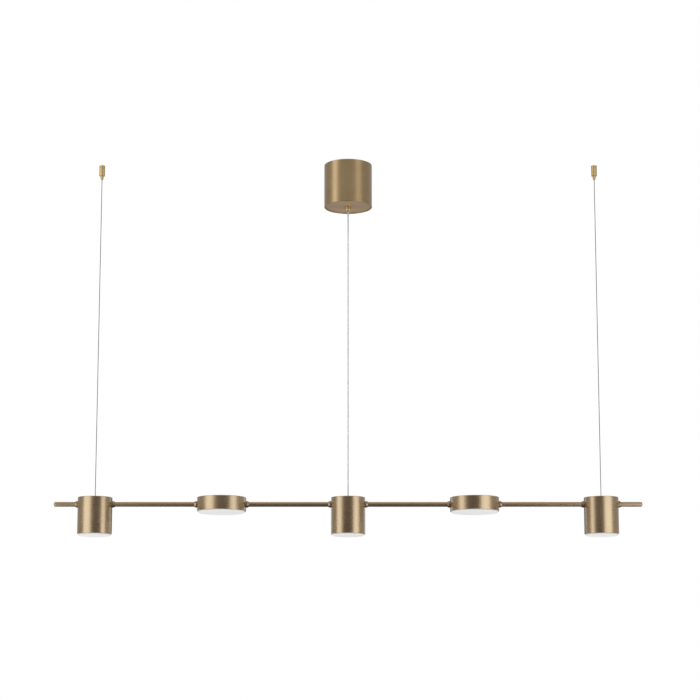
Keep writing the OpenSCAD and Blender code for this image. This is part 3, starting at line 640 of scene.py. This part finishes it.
def diffuser(name, head_r, head_low, bead):
    """An opal cup on its own axis; bead is the height of its snap bead."""
    radius = head_r - HEAD_WALL - DIFFUSER_GAP
    low = head_low - DIFFUSER_DROP
    return turned(name, [
        (0, low), (radius, low, 2.4), (radius, bead, 0.1), (radius + BEAD, bead + 0.2),
        (radius + BEAD, bead + 0.8), (radius, bead + BEAD_HEIGHT, 0.1), (radius, bead + 3.5, 0.2),
        (radius - OPAL_WALL, bead + 3.5, 0.2), (radius - OPAL_WALL, low + OPAL_WALL, 0.5),
        (0, low + OPAL_WALL)], 128, 6)


tall = diffuser("left_cylinder_opal", CYLINDER_R, CYL_LOW, CYL_BEAD)
flat = diffuser("left_disc_opal", DISC_R, DISC_LOW, DISC_BEAD)
opals = [(tall, "bar", "left_cylinder_diffuser"), (flat, "left_disc", "left_disc_diffuser")]
for side, x in (("centre", 0), ("right", wire_x)):
    opal = copied(tall, f"{side}_cylinder_opal", (x, 0, 0))
    opals.append((opal, "bar", f"{side}_cylinder_diffuser"))
opal = copied(flat, "right_disc_opal", (PITCH, 0, 0))
opals.append((opal, "right_disc", "right_disc_diffuser"))
place(tall, (-wire_x, 0, 0))
place(flat, (-PITCH, 0, 0))
for opal, body, node in opals:
    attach(opal, body)
    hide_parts(node)
    print(opal.name, len(opal.data.polygons), "faces")

# %% [markdown]
# ## Shader expressions
# A procedural finish is a sum of small patterns. Written node by node it is hard to read, so one
# small class wraps a socket: plain Python operators on it add Math nodes, and one method makes any
# other node. A finish then reads like the formula that it is.

# %% Expressions on sockets
class Signal:
    """One output socket of a shader node, to be used in expressions."""

    def __init__(self, socket):
        self.socket = socket

    def __getitem__(self, name):
        return Signal(self.socket.node.outputs[name])

    def node(self, kind, settings=None, sockets=None):
        """A new node beside this one: first its settings, then its sockets' values or links."""
        tree = self.socket.id_data
        new = tree.nodes.new(kind)
        for name, value in (settings or {}).items():
            if name == "stops":
                for i, (position, shade) in enumerate(value):
                    stops = new.color_ramp.elements
                    stop = stops[i] if i < 2 else stops.new(position)
                    stop.position, stop.color = position, (*shade, 1)
            else:
                setattr(new, name, value)
        for name, value in (sockets or {}).items():
            if isinstance(value, Signal):
                tree.links.new(value.socket, new.inputs[name])
            else:
                new.inputs[name].default_value = value
        return Signal(new.outputs[0])

    def math(self, operation, *others):
        sockets = dict(enumerate((self, *others)))
        return self.node("ShaderNodeMath", {"operation": operation}, sockets)

    def __add__(self, other):
        return self.math("ADD", other)

    def __sub__(self, other):
        return self.math("SUBTRACT", other)

    def __rsub__(self, other):
        return self.node("ShaderNodeMath", {"operation": "SUBTRACT"}, {0: other, 1: self})

    def __mul__(self, other):
        return self.math("MULTIPLY", other)

    __radd__ = __add__
    __rmul__ = __mul__

    def xyz(self):
        """The three parts of a place."""
        parts = self.node("ShaderNodeSeparateXYZ", None, {0: self})
        return parts["X"], parts["Y"], parts["Z"]

    def blend(self, dark, light):
        """A colour between two, by this value from 0 to 1. Each is a plain colour or a signal."""
        dark, light = (c if isinstance(c, Signal) else (*c, 1) for c in (dark, light))
        return self.node("ShaderNodeMix", {"data_type": "RGBA"}, {0: self, 6: dark, 7: light})[2]

    def into(self, shader, socket):
        """Links this value to a socket of a shader."""
        self.socket.id_data.links.new(self.socket, shader.inputs[socket])


def noise(spot, scale=1.0, detail=2.0, roughness=0.5):
    """A noise pattern from about 0 to 1."""
    return spot.node("ShaderNodeTexNoise", None, {
        "Vector": spot, "Scale": scale, "Detail": detail, "Roughness": roughness})


def vector(x, y, z):
    """A place from its three parts."""
    return x.node("ShaderNodeCombineXYZ", None, {0: x, 1: y, 2: z})


def bumped(shader, height, distance, strength=1.0):
    """Feeds a Bump node with this height, in millimetres, to the shader's Normal."""
    height.node("ShaderNodeBump", None, {
        "Height": height, "Distance": distance * MM, "Strength": strength}).into(shader, "Normal")


def finish(name, **sockets):
    """A new material, its shader with constants on its own sockets, and the Object coordinates."""
    material = bpy.data.materials.new(name)
    material.use_nodes = True
    shader = material.node_tree.nodes["Principled BSDF"]
    for socket, value in sockets.items():
        value = (*value, 1) if isinstance(value, tuple) else value
        shader.inputs[socket.replace("_", " ")].default_value = value
    spot = Signal(material.node_tree.nodes.new("ShaderNodeTexCoord").outputs["Object"])
    return material, shader, spot


# %% [markdown]
# ## Brushed brass
# The metal is brushed while it turns, so the fine lines run round each piece. They show as streaks
# in the roughness and a very low relief, which draws the reflections out into upright bands. A
# noise that is drawn out along the circle gives them: the height and the distance from the axis
# are scaled up far more than the place along the circle. The five heads stand one pitch apart,
# so wrapping X by the pitch gives the distance from the nearest head's axis. A clear lacquer on
# top is the shader's coat.

# %% Brass finishes
def brushed_brass(name, dark, light, roughness, lathe=True, coat=0.6, metallic=1.0):
    """Brushed, lacquered brass. Its lines run round an upright axis (lathe) or along the bar."""
    material, shader, spot = finish(
        name, Metallic=metallic, Anisotropic=0.5 if lathe else 0.0, Coat_Roughness=0.24)
    x, y, z = spot.xyz()
    if lathe:
        off = x.math("WRAP", PITCH * MM / 2, -PITCH * MM / 2)
        radius = (off * off + y * y).math("SQRT")
        lines = vector(x * 45, y * 45, (z + radius) * 4200)
    else:
        lines = vector(x * 30, y * 4200, z * 4200)
    fine = noise(lines, 1, 3, 0.6)
    clouds = noise(spot, 28, 3, 0.55)
    tone = (fine * 0.35 + clouds * 0.65 - 0.2) * 1.6
    tone.math("MINIMUM", 1.0).math("MAXIMUM", 0.0).blend(dark, light).into(shader, "Base Color")
    (fine * 0.08 + clouds * 0.06 + (roughness - 0.07)).into(shader, "Roughness")
    (clouds * 0.3 + (coat - 0.15)).into(shader, "Coat Weight")
    bumped(shader, fine, 0.012, 0.06)
    return material


head_brass = brushed_brass("brushed_brass_heads", (0.37, 0.26, 0.14), (0.45, 0.32, 0.18), 0.28)
canopy_brass = brushed_brass(
    "brushed_brass_canopy", (0.35, 0.24, 0.12), (0.42, 0.295, 0.15), 0.3, coat=0.5)
plate_brass = brushed_brass(
    "brushed_brass_plate", (0.475, 0.315, 0.165), (0.55, 0.37, 0.197), 0.45,
    coat=0.2, metallic=0.6)
rod_brass = brushed_brass(
    "brushed_brass_rods", (0.35, 0.24, 0.13), (0.4, 0.28, 0.155), 0.36, lathe=False, coat=0.4)
# The collars take the rods' brass at about three quarters of its brightness: painted shade that
# darkens the small cones and dims the highlight on their flanks.
painted_shade_collar_brass = brushed_brass(
    "brushed_brass_collars_painted_shade", (0.27, 0.185, 0.1), (0.31, 0.215, 0.12), 0.3, lathe=False, coat=0.4)
print("brass finishes for heads, canopy, plate, rods and collars")

# %% Bright brass, steel and aluminium
def drawn_metal(name, stretch, dark, light, roughness, spread, depth=0.01, **sockets):
    """Metal with fine lines: a noise that is scaled up far more across the lines than along."""
    material, shader, spot = finish(name, Metallic=1.0, **sockets)
    lines = noise(vector(*[part * scale for part, scale in zip(spot.xyz(), stretch)]), 1, 2)
    lines.blend(dark, light).into(shader, "Base Color")
    (lines * spread + roughness).into(shader, "Roughness")
    bumped(shader, lines, depth, 0.3)
    return material


bright_brass = drawn_metal(
    "bright_turned_brass", (60, 60, 3500), (0.56, 0.40, 0.17), (0.66, 0.48, 0.22), 0.3, 0.14,
    Coat_Weight=0.3)
wire_steel = drawn_metal(
    "stranded_steel", (4000, 4000, 120), (0.13, 0.13, 0.134), (0.21, 0.21, 0.214), 0.28, 0.2)
aluminium = drawn_metal(
    "rolled_aluminium", (3000, 40, 3000), (0.68, 0.69, 0.71), (0.8, 0.81, 0.82), 0.3, 0.2, 0.015)

zinc, shader, spot = finish("bright_zinc_plate", Metallic=1.0)
spangle = spot.node("ShaderNodeTexVoronoi", None, {"Vector": spot, "Scale": 320.0})["Color"]
spangle = spangle.node("ShaderNodeSeparateColor", None, {0: spangle})
clouds = noise(spot, 60, 3)
tone = spangle * 0.6 + clouds * 0.4
tone.blend((0.5, 0.51, 0.53), (0.7, 0.71, 0.72)).into(shader, "Base Color")
(spangle * 0.12 + clouds * 0.1 + 0.22).into(shader, "Roughness")
bumped(shader, clouds, 0.02, 0.3)
print("bright brass, stranded steel, rolled aluminium and zinc plate")

# %% [markdown]
# ## Plastics
# Opal acrylic, moulded nylon and the cable's sheath are told apart by gloss and texture. Moulded
# pieces have the fine spark-eroded grain of their mould. The sheath is clear, so its light is
# bent by real transmission, which is a constant on the shader's own socket.

# %% Plastic finishes
def moulded(name, dark, light, roughness, grain=900.0, depth=0.02, **sockets):
    """Moulded plastic with a fine grain and faint clouds in its colour."""
    material, shader, spot = finish(name, **sockets)
    fine = noise(spot, grain, 3, 0.6)
    clouds = noise(spot, 35, 2)
    clouds.blend(dark, light).into(shader, "Base Color")
    (fine * 0.12 + clouds * 0.05 + (roughness - 0.08)).into(shader, "Roughness")
    bumped(shader, fine, depth, 0.4)
    return material


opal = moulded(
    "opal_acrylic", (0.92, 0.922, 0.924), (0.945, 0.946, 0.944), 0.5, 600.0, 0.008,
    Specular_IOR_Level=0.02)
white_nylon = moulded("white_nylon", (0.84, 0.84, 0.81), (0.89, 0.89, 0.87), 0.45)
black_nylon = moulded("black_nylon", (0.018, 0.018, 0.019), (0.03, 0.03, 0.032), 0.5)
white_mask = moulded("white_board_mask", (0.8, 0.81, 0.77), (0.86, 0.87, 0.82), 0.35, 500.0)
clear_sheath = moulded(
    "clear_sheath", (0.86, 0.87, 0.88), (0.91, 0.915, 0.92), 0.2, 500.0, 0.004,
    Transmission_Weight=0.45, IOR=1.46)

BOARD_FACE = 32.2
green_board, shader, spot = finish("driver_board_and_parts", Roughness=0.4)
x, y, z = spot.xyz()
board = y.math("GREATER_THAN", BOARD_FACE * MM)
tracks = spot.node("ShaderNodeTexBrick", {"offset": 0.5}, {
    "Vector": vector(x, z, y), "Scale": 160.0, "Mortar Size": 0.03,
    "Color1": (0.02, 0.15, 0.07, 1), "Color2": (0.025, 0.19, 0.085, 1),
    "Mortar": (0.35, 0.25, 0.08, 1)})
case = noise(spot, 90, 2).blend((0.02, 0.02, 0.025), (0.16, 0.14, 0.06))
board.blend(case, tracks).into(shader, "Base Color")
(board * -0.2 + 0.5).into(shader, "Roughness")
print("plastic and board finishes")

# %% [markdown]
# ## Painting the pieces
# Every CAD node that is still shown swaps the plain material of its slot for one of these, and
# the new pieces get theirs by name.

# %% Assign the finishes
BY_SLOT = {
    "satin_brass": head_brass, "plated_alloy": head_brass, "plated_steel": canopy_brass,
    "bright_brass": bright_brass, "zinc_steel": zinc, "wire_steel": wire_steel,
    "bare_aluminium": aluminium, "opal_acrylic": opal, "white_plastic": white_nylon,
    "cable_sheath": clear_sheath, "black_nylon": black_nylon, "circuit_board": white_mask,
    "driver_board": green_board,
}
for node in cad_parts.values():
    for material_slot in node.material_slots:
        material_slot.material = BY_SLOT[material_slot.material.name]
BY_PIECE = {
    head_brass: [*shells.values(), *disc_shells.values()],
    canopy_brass: [canopy_shell],
    plate_brass: [base_plate],
    rod_brass: [link_tubes, end_tubes],
    painted_shade_collar_brass: [cone_collars],
    bright_brass: [grip, *barrels.values()],
    wire_steel: [left_steel_wire, right_steel_wire, left_stop_ball, right_stop_ball],
    zinc: [feed_cores, *springs],
    clear_sheath: [feed_sheath, cable_tail],
    white_nylon: [input_lead],
    opal: [piece for piece, _, _ in opals],
}
for material, pieces in BY_PIECE.items():
    for piece in pieces:
        piece.data.materials.clear()
        piece.data.materials.append(material)
print(sum(len(pieces) for pieces in BY_PIECE.values()), "new pieces painted")

# %% [markdown]
# ## Studio
# The light hangs in a plain white studio over a pale floor. White alone would leave metal looking
# flat, so photographers stand tall panels round a lamp: bright ones give the upright highlights on
# each cylinder and dark ones the stripe between them. They stand close, so the band on the near
# side of each head is the wider one. Only reflections see these panels. A lower ring of them
# serves the heads, and an upper ring, with less contrast, the canopy. A flat dark one below the
# bar gives the rods their darker underside. Away from the light the floor fades into the white
# background, as the paper of a studio cove does.

# %% White world
DIFFUSE_LEVEL = 0.84
scene = bpy.context.scene
scene.view_settings.view_transform = "Standard"
world = bpy.data.worlds.new("white_studio")
scene.world = world
world.use_nodes = True
background = world.node_tree.nodes["Background"]
background.inputs["Color"].default_value = (1, 1, 1, 1)
ray = Signal(world.node_tree.nodes.new("ShaderNodeLightPath").outputs["Is Camera Ray"])
seen = ray.math("MAXIMUM", ray["Is Glossy Ray"]).math("MAXIMUM", ray["Is Transmission Ray"])
(seen * (1 - DIFFUSE_LEVEL) + DIFFUSE_LEVEL).into(background, "Strength")
print("white world, at", DIFFUSE_LEVEL, "for the light that it gives")

# %% Pale floor
FLOOR_Z = -2.4
FLOOR_SIZE = 40
FLOOR_PLAIN_R = 1.5
FLOOR_FADE = 9.0
bpy.ops.object.select_all(action="DESELECT")
bpy.ops.mesh.primitive_plane_add(size=FLOOR_SIZE, location=(0, 0, FLOOR_Z))
floor = bpy.context.object
floor.name = "pale_floor"
floor_paint, shader, spot = finish("pale_floor_paint", Roughness=0.9)
noise(spot, 3, 3).blend((0.90, 0.90, 0.895), (0.93, 0.93, 0.925)).into(shader, "Base Color")
x, y, z = spot.xyz()
away = (x * x + y * y).math("SQRT") - FLOOR_PLAIN_R
clamped_division = {"operation": "DIVIDE", "use_clamp": True}
fade = away.node("ShaderNodeMath", clamped_division, {0: away, 1: FLOOR_FADE})
fade = fade * spot.node("ShaderNodeLightPath")["Is Camera Ray"]
white = spot.node("ShaderNodeEmission")
paint = Signal(shader.outputs[0])
faded = fade.node("ShaderNodeMixShader", None, {0: fade, 1: paint, 2: white})
faded.into(floor_paint.node_tree.nodes["Material Output"], "Surface")
floor.data.materials.append(floor_paint)
print("floor at", FLOOR_Z, "m")

# %% Panels that only reflections see
PANEL_R = 1.3
COOL_SOFTBOX = (0.94, 1.02, 1.13)
PLAIN_WHITE = (1.0, 1.0, 1.0)
BROWN_CARD = (1.0, 0.87, 0.98)
CARD_LEVEL = 0.2
RING_SPLIT = -0.45
RING_TOP = 2.0


def panel(name, middle, width, level, low, high, bright=PLAIN_WHITE):
    """A curved upright panel; its middle and width are degrees from the camera's side to +X."""
    bpy.ops.object.select_all(action="DESELECT")
    bpy.ops.mesh.primitive_cylinder_add(
        vertices=360, radius=PANEL_R, depth=high - low, location=(0, 0, (low + high) / 2),
        end_fill_type="NOTHING")
    obj = bpy.context.object
    obj.name = name
    bpy.ops.object.mode_set(mode="EDIT")
    bpy.ops.mesh.select_all(action="DESELECT")
    bpy.ops.object.mode_set(mode="OBJECT")
    for face in obj.data.polygons:
        angle = math.degrees(math.atan2(face.center.x, -face.center.y))
        face.select = abs((angle - middle + 180) % 360 - 180) > width / 2
    bpy.ops.object.mode_set(mode="EDIT")
    bpy.ops.mesh.delete(type="FACE")
    bpy.ops.object.mode_set(mode="OBJECT")
    glowing(obj, level, bright)


def glowing(obj, level, bright=PLAIN_WHITE):
    """Stages a piece with a glow that only reflections see; bright is the colour of a softbox."""
    paint = bpy.data.materials.new(obj.name)
    paint.use_nodes = True
    tree = paint.node_tree
    tree.nodes.remove(tree.nodes["Principled BSDF"])
    glow = tree.nodes.new("ShaderNodeEmission")
    tint = BROWN_CARD if level < CARD_LEVEL else bright if level > 1 else PLAIN_WHITE
    glow.inputs["Color"].default_value = (*tint, 1)
    glow.inputs["Strength"].default_value = level
    tree.links.new(glow.outputs[0], tree.nodes["Material Output"].inputs["Surface"])
    obj.data.materials.append(paint)
    obj.visible_camera = obj.visible_diffuse = obj.visible_shadow = False
    obj.visible_transmission = obj.visible_volume_scatter = False


for name, middle, width, level in (
    ("left_softbox", -61, 33, 2.1), ("left_feather", -39, 11, 0.6),
    ("right_softbox", 54.5, 39, 2.15), ("front_flag", 0.75, 68.5, 0.15),
    ("left_edge", -110, 65, 0.47), ("right_edge", 108.5, 69, 0.52),
    ("back_softbox_left", -152, 18, 1.05), ("back_softbox_right", 152, 18, 1.05),
    ("back_flag", 180, 38, 0.15),
):
    panel(name, middle, width, level, FLOOR_Z, RING_SPLIT, COOL_SOFTBOX)
for name, middle, width, level in (
    ("upper_left_softbox", -65, 24, 1.93), ("upper_right_softbox", 50, 26, 1.2),
    ("upper_front", -8, 90, 0.55), ("upper_left_edge", -113.5, 73, 0.5),
    ("upper_right_edge", 106.5, 87, 0.5), ("upper_back", 180, 60, 0.72),
):
    panel(name, middle, width, level, RING_SPLIT, RING_TOP)

# %% Flag below the bar
LOW_FLAG_R = 0.75
LOW_FLAG_Z = -1.3
LOW_FLAG_LEVEL = 0.16
bpy.ops.object.select_all(action="DESELECT")
bpy.ops.mesh.primitive_circle_add(
    vertices=96, radius=LOW_FLAG_R, location=(0, 0, LOW_FLAG_Z), fill_type="NGON")
bpy.context.object.name = "low_flag"
glowing(bpy.context.object, LOW_FLAG_LEVEL)

# %% Overhead light
bpy.ops.object.select_all(action="DESELECT")
bpy.ops.object.light_add(type="AREA", location=(-1.2, -1.5, 3.0))
overhead = bpy.context.object
overhead.name = "overhead_light"
overhead.data.shape = "RECTANGLE"
overhead.data.size, overhead.data.size_y = 4, 3
overhead.data.energy = 60
overhead.visible_glossy = False
overhead.rotation_euler = (math.radians(25), math.radians(-20), 0)
print("overhead light of", overhead.data.energy, "W")
